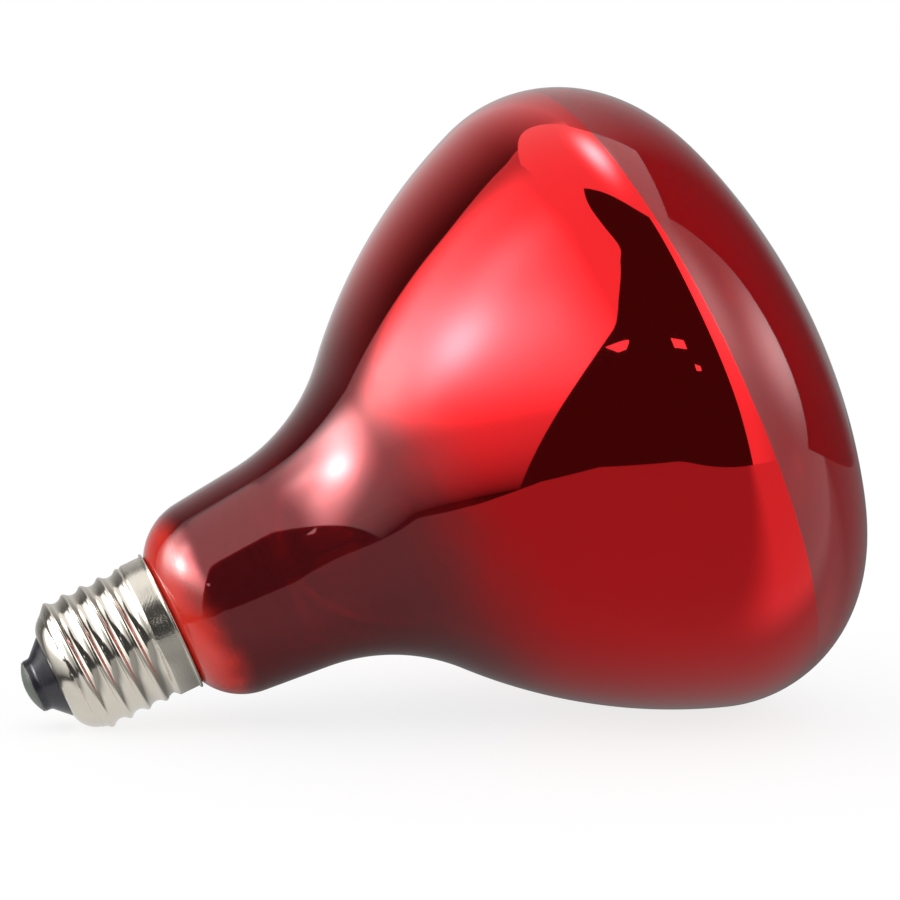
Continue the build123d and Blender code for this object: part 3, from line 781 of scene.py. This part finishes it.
class HEATLAMP_OT_insulator(bpy.types.Operator):
    """Press the black glass into the nose: boss, fillet and cone outside, the shell's form inside"""

    bl_idname = "heat_lamp.insulator"
    bl_label = "Insulator"

    def execute(self, context):
        cap = context.scene.heat_lamp_cap
        front = -cap.shell_length - cap.insulator_height
        back = cap.insulator_depth - cap.shell_length
        nose, mouth = nose_arc(cap, cap.sheet)
        back_reach = math.sqrt((cap.nose_radius - cap.sheet) ** 2 - (back - nose[0]) ** 2)
        back_edge = (back, nose[1] + back_reach)
        bore_front = (front, cap.lead_radius)
        boss_edge = (front, cap.boss_radius)
        boss_foot = (front + cap.insulator_land, cap.boss_radius)
        cone_end = (-cap.shell_length, cap.opening_radius)
        profile = np.vstack((
            bore_front,
            rounded(bore_front, boss_edge, boss_foot, cap.boss_round, 4),
            rounded(boss_edge, boss_foot, cone_end, cap.insulator_fillet, 10),
            line(cone_end, mouth, 1),
            arc(nose, mouth, back_edge, 12),
            back_edge,
            (back, cap.lead_radius),
        ))
        piece = turned_piece("black_insulator", *profile.T, cap.turns // 2, closed=True)
        piece.data.materials.append(black_glass(cap))
        dress(piece, "black_glass", "cap_insulator")
        return {"FINISHED"}


class HEATLAMP_OT_contact(bpy.types.Operator):
    """Stamp the crowned contact plate and set the solder in its dished middle"""

    bl_idname = "heat_lamp.contact"
    bl_label = "Contact and solder"

    def execute(self, context):
        cap = context.scene.heat_lamp_cap
        seat = -cap.shell_length - cap.insulator_height
        crown_radius = (cap.contact_radius**2 + cap.contact_crown**2) / (2 * cap.contact_crown)
        tip = seat - cap.contact_edge - cap.contact_crown
        centre = np.array((tip + crown_radius, 0.0))
        edge = (seat - cap.contact_edge, cap.contact_radius)
        dish_floor = seat - cap.contact_web
        dish_edge = (centre[0] - math.sqrt(crown_radius**2 - cap.solder_radius**2), cap.solder_radius)
        plate = np.vstack((
            arc(centre, dish_edge, edge, 14),
            edge,
            (seat, cap.contact_radius),
            (seat, cap.lead_radius),
            (dish_floor, cap.lead_radius),
            (dish_floor, cap.solder_radius),
        ))
        dot = np.vstack((
            arc(centre, (tip, 0.0), dish_edge, 10),
            dish_edge,
            (dish_floor, cap.solder_radius),
            (dish_floor, 0.0),
        ))
        turns = cap.turns // 2
        contact = turned_piece("contact_plate", *plate.T, turns, closed=True)
        contact.data.materials.append(dull_finish("contact_metal", cap.contact))
        dress(contact, "contact_metal", "centre_contact")
        solder = turned_piece("solder_dot", *dot.T, turns, closed=False)
        solder.data.materials.append(dull_finish("solder", cap.solder))
        dress(solder, "solder", "contact_solder")
        return {"FINISHED"}


# Pieces inside the glass
def coil_points(inner):
    """Return the wire's centre line and its outward direction.

    The coil's axis runs in straight stretches between the ring's stops at every 45 degrees of the
    upper half circle, and the wire winds round it: axis + radius (cos(phase) way + sin(phase) spoke).
    """
    stops = np.radians((0.0, 45.0, 90.0, 135.0, 180.0))
    corners = inner.ring_radius * np.stack((np.cos(stops), np.sin(stops)), axis=1)
    corners[0] = toward(corners[0], corners[1], inner.end_gap)
    corners[-1] = toward(corners[-1], corners[-2], inner.end_gap)
    run = np.concatenate(([0.0], np.cumsum(np.linalg.norm(np.diff(corners, axis=0), axis=1))))
    steps_per_turn = 14
    steps = int(run[-1] / inner.coil_pitch * steps_per_turn)
    along = np.linspace(inner.wire_radius, run[-1] - inner.wire_radius, steps)
    across = np.interp(along, run, corners[:, 0])
    height = np.interp(along, run, corners[:, 1])
    spoke = across[:, None] * AXIS_SIDE + height[:, None] * AXIS_UP
    axis = RIM_POINT + inner.station * AXIS_WAY + spoke
    phase = (2 * np.pi * along / inner.coil_pitch)[:, None]
    outward = np.cos(phase) * AXIS_WAY + np.sin(phase) * unit(spoke)
    return axis + (inner.coil_radius - inner.wire_radius) * outward, outward


class HEATLAMP_OT_filament(bpy.types.Operator):
    """Wind the tungsten coil from lead to hooks to lead"""

    bl_idname = "heat_lamp.filament"
    bl_label = "Filament"

    def execute(self, context):
        inner = context.scene.heat_lamp_inside
        centre, outward = coil_points(inner)
        tangent = unit(np.gradient(centre, axis=0))
        normal = unit(outward - np.sum(outward * tangent, axis=1, keepdims=True) * tangent)
        aside = np.cross(tangent, normal)
        sides = 6
        turn = (2 * np.pi * np.arange(sides) / sides)[None, :, None]
        tube = centre[:, None] + inner.wire_radius * (
            np.cos(turn) * normal[:, None] + np.sin(turn) * aside[:, None]
        )
        rows = len(centre)
        index = np.arange(rows * sides).reshape(rows, sides)
        near = index[:-1]
        far = index[1:]
        quads = np.stack((near, np.roll(near, -1, axis=1), np.roll(far, -1, axis=1), far), axis=-1)
        points = np.vstack((tube.reshape(-1, 3), centre[:1], centre[-1:]))
        start = np.full(sides, rows * sides)
        ends = np.vstack((
            np.stack((start, np.roll(index[0], -1), index[0]), axis=1),
            np.stack((start + 1, index[-1], np.roll(index[-1], -1)), axis=1),
        ))
        piece = add_mesh("tungsten_coil", points, quads.reshape(-1, 4), ends, WIRE_CREASE)
        piece.data.materials.append(dull_finish("tungsten", inner.tungsten))
        dress(piece, "tungsten", "filament")
        return {"FINISHED"}


class HEATLAMP_OT_inner_pieces(bpy.types.Operator):
    """Give the carried-over pieces inside the bulb and the cap their finishes"""

    bl_idname = "heat_lamp.inner_pieces"
    bl_label = "Inner pieces"

    def execute(self, context):
        inner = context.scene.heat_lamp_inside
        finishes = (
            (clear_glass(inner), "glass_stem", "exhaust_tube", "support_rod"),
            (dull_finish("lead_wire", inner.nickel_wire), "contact_lead", "shell_lead"),
            (dull_finish("hook_wire", inner.hook_wire), "support_hook_1", "support_hook_2", "support_hook_3"),
            (dull_finish("shield_metal", inner.shield), "heat_shield"),
            (dull_finish("cement", inner.cement), "cap_cement"),
        )
        for finish, *names in finishes:
            for name in names:
                materials = frame["nodes"][name].data.materials
                materials.clear()
                materials.append(finish)
        return {"FINISHED"}


# Stage: the camera sees an endless white floor, and mirrors see a table with edges in a dark studio
SWEEP_OUTLINE = ((-6.0, -6.0), (6.0, -6.0), (6.0, 6.0), (-6.0, 6.0))
TABLE_OUTLINE = (
    (-0.083, -0.037), (-0.078, -0.053), (-0.074, -0.069), (-0.070, -0.109), (-0.053, -0.142),
    (0.15, -0.222), (1.5, -0.6), (1.5, 1.5), (-0.083, 1.5),
)
ROOM_REACH = 2.2
WINDOW_REACH = 2.1
WALL_REACH = 1.9
TOP_HEIGHT = 1.5
ROOM_GRID = (181, 241)
LEFT_GRID = (161, 81)
PANEL_GRID = (121, 61)
KEY_PLACE = (-0.8, -0.4, 0.8)
FILL_PLACE = (0.8, -0.5, 0.7)
LAMP_AIM = (0.0, 0.0, 0.05)
LAMP_SIZE = 0.7
SENSOR_WIDTH = 36.0
CLIP_START = 10 * MM

# Table in the mirror, with painted light and painted shadow: where each change of its brightness begins and
# ends. The brighter left end and the pool at the right front are painted light, and the dimming under and
# behind the lamp is painted shadow
LIT_EDGE_LEFT = (-0.056, -0.040)
LIT_EDGE_NEAR = (-0.030, -0.014)
LIGHT_POOL_RIGHT = (0.02, 0.045)
LIGHT_POOL_FRONT = (-0.040, -0.058)
LIGHT_POOL_SLANT = 0.43
PAINTED_SHADOW_FADE = (-0.045, 0.0)

# Walls: two edges each, as elevation and azimuth in degrees, with azimuth 0 on the camera's side
LEFT_FOOT = -26.5
LEFT_WALL = (
    (
        (LEFT_FOOT, -129), (8, -128), (20, -124), (30, -122), (38, -122), (42, -124), (46, -127),
        (49, -129.5), (52, -134), (56, -140), (88, -140),
    ),
    (
        (LEFT_FOOT, -57), (-8, -50), (10, -43), (28, -36), (46, -29), (54, -28), (59, -38), (66, -56),
        (74, -73), (88, -118),
    ),
)
RIGHT_WALL = (
    ((-27, 33), (0, 28), (66, 24), (75, 27)),
    ((-27, 50), (-12, 66), (2, 76), (26, 80), (50, 71), (66, 52), (75, 30)),
)

# Top panel: two edges, as x and y over its height
TOP_PANEL = (
    ((-0.62, -0.1), (-0.3, -0.12), (-0.185, -0.167), (0.162, -0.348), (0.36, -0.36)),
    ((-0.62, 0.40), (-0.514, 0.514), (-0.318, 0.653), (-0.08, 0.571), (0.059, 0.43), (0.36, 0.3)),
)

# Windows: four corners each, as azimuth and elevation in degrees
WINDOWS = (
    ((-40.9, 12.6), (-33.8, 14.7), (-37.3, 10.6), (-35.5, 11.2)),
    ((-6.4, 22.1), (1.9, 22.9), (-5.6, 18.9), (2.6, 20.0)),
    ((4.9, 15.0), (8.4, 15.0), (5.1, 12.8), (8.3, 13.4)),
)


def seen(tree):
    """Return 1 for camera, glossy and transmission rays, which show the background, or else 0."""
    path = node(tree, "ShaderNodeLightPath").outputs
    mirrored = math_node(tree, "MAXIMUM", path["Is Glossy Ray"], path["Is Transmission Ray"])
    return math_node(tree, "MAXIMUM", path["Is Camera Ray"], mirrored)


def white_world(studio):
    """Set an even white world, at which a colour renders as it is written."""
    world = bpy.data.worlds.new("white_studio")
    world.use_nodes = True
    tree = world.node_tree
    tree.nodes.clear()
    sky = node(tree, "ShaderNodeBackground", {"Color": rgba(studio.floor), "Strength": 1.0})
    node(tree, "ShaderNodeOutputWorld", {"Surface": sky.outputs["Background"]})
    bpy.context.scene.world = world


def white_floor(studio):
    """Return the floor's white: partly its own, where it is seen, and partly lit, to keep a shadow."""
    material, tree = empty_material("white_floor")
    own = node(tree, "ShaderNodeEmission", {"Color": rgba(studio.floor)}).outputs["Emission"]
    lit = node(tree, "ShaderNodeBsdfDiffuse", {"Color": rgba(studio.floor)}).outputs["BSDF"]
    factor = math_node(tree, "MULTIPLY", seen(tree), studio.floor_glow)
    show(tree, node(tree, "ShaderNodeMixShader", {0: factor, 1: lit, 2: own}).outputs["Shader"])
    return material


def glowing(name, studio):
    """Return a new material that only glows, with its node tree and its light."""
    material, tree = empty_material(name)
    light = node(tree, "ShaderNodeEmission", {"Color": rgba(studio.floor)})
    show(tree, light.outputs["Emission"])
    material.cycles.emission_sampling = "NONE"
    return material, tree, light


def wall_glow(studio):
    """Return a light whose strength is the attribute glow."""
    material, tree, light = glowing("studio_glow", studio)
    level = node(tree, "ShaderNodeAttribute", attribute_name="glow").outputs["Fac"]
    fill(tree, light, {"Strength": level})
    return material


def table_painted_light(studio):
    """Return the table that mirrors see, with painted light and shade: painted light at its left end and in a
    pool at the right front, and painted shadow that dims it to half under and behind the lamp.
    """
    material, tree, light = glowing("table_painted_light", studio)
    place = object_place(tree)
    x = part_of(tree, place, "X")
    y = part_of(tree, place, "Y")
    # Painted light: extra brightness at the table's left end, under the cap
    left = map_range(tree, x, *LIT_EDGE_LEFT, studio.mirrored_lit_edge, 0.0, True)
    near = map_range(tree, y, *LIT_EDGE_NEAR, smooth=True)
    # Painted light: a pool of extra brightness at the table's right front
    slant = math_node(tree, "MULTIPLY_ADD", y, LIGHT_POOL_SLANT, x)
    right = map_range(tree, slant, *LIGHT_POOL_RIGHT, 0.0, studio.mirrored_light_pool, True)
    front = map_range(tree, y, *LIGHT_POOL_FRONT, smooth=True)
    # Painted shadow: the table's brightness falls to half under and behind the lamp
    plain = map_range(tree, y, *PAINTED_SHADOW_FADE, studio.mirrored_floor, 0.5 * studio.mirrored_floor, True)
    level = math_node(tree, "MULTIPLY_ADD", left, near, plain)
    fill(tree, light, {"Strength": math_node(tree, "MULTIPLY_ADD", right, front, level)})
    return material


def stage_mesh(name, points, faces, material):
    """Put a mesh on the stage."""
    mesh = bpy.data.meshes.new(name)
    mesh.from_pydata(points.tolist(), [], faces.tolist())
    mesh.materials.append(material)
    thing = bpy.data.objects.new(name, mesh)
    bpy.context.scene.collection.objects.link(thing)
    return thing


def flat_stage(name, outline, material):
    """Lay a flat sheet with the given outline at height 0 on the stage."""
    points = np.column_stack((outline, np.zeros(len(outline))))
    return stage_mesh(name, points, np.arange(len(outline))[None, :], material)


def only_mirrored(thing):
    """Let a piece of the stage show in reflections and through glass alone."""
    thing.visible_camera = False
    thing.visible_diffuse = False
    thing.visible_shadow = False


def glowing_wall(name, points, glow, material):
    """Set a grid of points on the stage as a light that only reflections and glass show."""
    rows, columns = glow.shape
    index = np.arange(rows * columns).reshape(rows, columns)
    quads = np.stack((index[:-1, :-1], index[1:, :-1], index[1:, 1:], index[:-1, 1:]), axis=-1)
    wall = stage_mesh(name, points.reshape(-1, 3), quads.reshape(-1, 4), material)
    level = wall.data.attributes.new("glow", "FLOAT", "POINT")
    level.data.foreach_set("value", glow.astype(np.float32).ravel())
    only_mirrored(wall)


def hot_spot(azimuth, elevation, centre, size):
    """Return a bell of brightness about a centre: exp of minus half the squared distance."""
    across = (azimuth - centre[0]) / size[0]
    height = (elevation - centre[1]) / size[1]
    return np.exp(-(across**2 + height**2) / 2)


def on_sphere(azimuth, elevation, reach):
    """Return reach (sin(az) cos(el), -cos(az) cos(el), sin(el)), with azimuth 0 on the camera's side."""
    turn = np.radians(azimuth)
    rise = np.radians(elevation)
    way = (np.sin(turn) * np.cos(rise), -np.cos(turn) * np.cos(rise), np.sin(rise))
    return reach * np.stack(way, axis=-1)


def smooth_edge(along, corners):
    """Return a cubic curve through the corners (along, across), with the mean slope at each corner."""
    knots, values = np.array(corners, dtype=float).T
    slope = np.gradient(values, knots)
    span = np.clip(np.searchsorted(knots, along, side="right") - 1, 0, len(knots) - 2)
    width = np.diff(knots)[span]
    part = (along - knots[span]) / width
    rise = np.diff(values)[span]
    start = slope[span] * width
    end = slope[span + 1] * width
    bend = 3 * rise - 2 * start - end + part * (start + end - 2 * rise)
    return values[span] + part * (start + part * bend)


def between(edges, rows, columns):
    """Return a grid between two edges with the same ends, as along and across."""
    first, second = edges
    along = np.linspace(first[0][0], first[-1][0], rows)[:, None]
    first_across = smooth_edge(along, first)
    second_across = smooth_edge(along, second)
    across = first_across + np.linspace(0.0, 1.0, columns)[None, :] * (second_across - first_across)
    return np.broadcast_to(along, across.shape), across


def dark_room(studio, light):
    """Set the room: dark in front, paler towards the back, pale high up at the left and below the table."""
    rows, columns = ROOM_GRID
    elevation = np.linspace(-90, 90, rows)
    azimuth = np.linspace(-180, 180, columns)
    elevation, azimuth = np.meshgrid(elevation, azimuth, indexing="ij")
    back = np.clip((np.abs(azimuth) - 122) / 58, 0.0, 1.0) ** 1.3
    high = smooth_step(elevation, 52, 64) * smooth_step(azimuth, -119, -125)
    below = smooth_step(elevation, -30, -33)
    glow = studio.room + back * studio.back
    glow = np.maximum(glow, high * studio.ceiling)
    glow = np.maximum(glow, below * studio.below)
    glowing_wall("dark_room", on_sphere(azimuth, elevation, ROOM_REACH), glow, light)


def left_softbox(studio, light):
    """Set the big softbox at the left, in a pale wall whose right edge the bulb mirrors."""
    elevation, azimuth = between(LEFT_WALL, *LEFT_GRID)
    under_top = smooth_step(elevation, 54, 36)
    over_foot = smooth_step(elevation, -6, 10)
    inside_right = smooth_step(azimuth + 0.9 * elevation, -16, -40)
    inside_left = smooth_step(azimuth, -125, -108)
    box = under_top * over_foot * inside_right * inside_left
    wide = hot_spot(azimuth, elevation, (-88, 20), (20, 8))
    core = hot_spot(azimuth, elevation, (-83, 19), (6, 5))
    upper = hot_spot(azimuth, elevation, (-84, 36), (7, 9))
    hot = studio.left_hot * (wide + 1.2 * core + 0.3 * upper)
    foot = np.clip((elevation - LEFT_FOOT) / 27.5, 0.0, 1.0) ** 0.6
    side = 0.55 + 0.45 * smooth_step(azimuth, -128, -106)
    glow = studio.ceiling * foot * side + box * (studio.left_panel - studio.ceiling + hot)
    glowing_wall("left_softbox", on_sphere(azimuth, elevation, WALL_REACH), glow, light)


def right_softbox(studio, light):
    """Set the narrow softbox at the right, brightest at its two hot spots."""
    elevation, azimuth = between(RIGHT_WALL, *PANEL_GRID)
    glow = studio.right_panel * (1 - 0.4 * smooth_step(azimuth, 32, 60))
    outer = hot_spot(azimuth, elevation, (73, 23), (13, 9))
    inner = hot_spot(azimuth, elevation, (32, 38), (9, 14))
    glow = glow + studio.right_hot * (outer + 0.5 * inner)
    glowing_wall("right_softbox", on_sphere(azimuth, elevation, WALL_REACH), glow, light)


def windows(studio, light):
    """Set the small windows of the dark room, each by the azimuth and elevation of its corners."""
    for number, corners in enumerate(WINDOWS):
        azimuth, elevation = np.array(corners).T
        points = on_sphere(azimuth, elevation, WINDOW_REACH)
        glowing_wall(f"window_{number}", points, np.full((2, 2), studio.windows), light)


def top_softbox(studio, light):
    """Set the panel overhead, with a lamp behind it."""
    x, y = between(TOP_PANEL, *PANEL_GRID)
    glow = studio.ceiling + studio.top_hot * hot_spot(x, y, (0.0, 0.13), (0.05, 0.11))
    points = TOP_HEIGHT * np.stack((x, y, np.ones_like(x)), axis=-1)
    glowing_wall("top_softbox", points, glow, light)


def soft_lamp(name, place, power):
    """Hang a square soft lamp that looks at the middle of the stage and shows in no mirror."""
    light = bpy.data.lights.new(name, "AREA")
    light.shape = "SQUARE"
    light.size = LAMP_SIZE
    light.energy = power
    lamp = bpy.data.objects.new(name, light)
    way = np.array(LAMP_AIM) - np.array(place)
    lean = math.atan2(math.hypot(way[0], way[1]), -way[2])
    lamp.location = place
    lamp.rotation_euler = (lean, 0.0, math.atan2(-way[0], way[1]))
    lamp.visible_glossy = False
    lamp.visible_transmission = False
    bpy.context.scene.collection.objects.link(lamp)


def set_camera(studio):
    """Set the camera at its place, turned by yaw and pitch."""
    camera = bpy.data.cameras.new("camera")
    camera.sensor_width = SENSOR_WIDTH
    camera.lens = studio.lens
    camera.clip_start = CLIP_START
    holder = bpy.data.objects.new("camera", camera)
    holder.location = studio.camera
    holder.rotation_euler = (math.pi / 2 + studio.pitch, 0.0, -studio.yaw)
    bpy.context.scene.collection.objects.link(holder)
    bpy.context.scene.camera = holder


class HEATLAMP_OT_stage(bpy.types.Operator):
    """Set the white table, the studio round it, the lights and the camera"""

    bl_idname = "heat_lamp.stage"
    bl_label = "Stage"

    def execute(self, context):
        studio = context.scene.heat_lamp_studio
        floor = flat_stage("floor", SWEEP_OUTLINE, white_floor(studio))
        floor.visible_glossy = False
        floor.visible_transmission = False
        table = flat_stage("mirrored_table", TABLE_OUTLINE, table_painted_light(studio))
        only_mirrored(table)
        white_world(studio)
        light = wall_glow(studio)
        dark_room(studio, light)
        left_softbox(studio, light)
        right_softbox(studio, light)
        top_softbox(studio, light)
        windows(studio, light)
        soft_lamp("key_lamp", KEY_PLACE, studio.key)
        soft_lamp("fill_lamp", FILL_PLACE, studio.fill)
        set_camera(studio)
        context.scene.view_settings.view_transform = "Standard"
        return {"FINISHED"}


class HEATLAMP_PT_sidebar(bpy.types.Panel):
    """List the lamp's pieces and their settings in the sidebar"""

    bl_idname = "HEATLAMP_PT_sidebar"
    bl_label = "Heat lamp"
    bl_space_type = "VIEW_3D"
    bl_region_type = "UI"
    bl_category = "Heat Lamp"

    def draw(self, context):
        for operator in PIECES:
            self.layout.operator(operator.bl_idname)
        for name in SETTINGS:
            group = getattr(context.scene, name)
            box = self.layout.box()
            for key in group.bl_rna.properties.keys():
                if key not in ("rna_type", "name"):
                    box.prop(group, key)


SETTINGS = {
    "heat_lamp_bulb": GlassBulbSettings,
    "heat_lamp_cap": ScrewCapSettings,
    "heat_lamp_inside": FilamentSettings,
    "heat_lamp_studio": StudioSettings,
}
PIECES = (
    HEATLAMP_OT_glass_bulb,
    HEATLAMP_OT_screw_shell,
    HEATLAMP_OT_insulator,
    HEATLAMP_OT_contact,
    HEATLAMP_OT_filament,
    HEATLAMP_OT_inner_pieces,
    HEATLAMP_OT_stage,
)


def register():
    """Register the settings, the operators and the panel."""
    for name, group in SETTINGS.items():
        bpy.utils.register_class(group)
        setattr(bpy.types.Scene, name, PointerProperty(type=group))
    for operator in PIECES:
        bpy.utils.register_class(operator)
    bpy.utils.register_class(HEATLAMP_PT_sidebar)


def unregister():
    """Take the panel, the operators and the settings out again."""
    bpy.utils.unregister_class(HEATLAMP_PT_sidebar)
    for operator in reversed(PIECES):
        bpy.utils.unregister_class(operator)
    for name, group in reversed(SETTINGS.items()):
        delattr(bpy.types.Scene, name)
        bpy.utils.unregister_class(group)


def main():
    """Register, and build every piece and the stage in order."""
    register()
    bpy.ops.heat_lamp.glass_bulb()
    bpy.ops.heat_lamp.screw_shell()
    bpy.ops.heat_lamp.insulator()
    bpy.ops.heat_lamp.contact()
    bpy.ops.heat_lamp.filament()
    bpy.ops.heat_lamp.inner_pieces()
    bpy.ops.heat_lamp.stage()


if __name__ == "__main__":
    main()
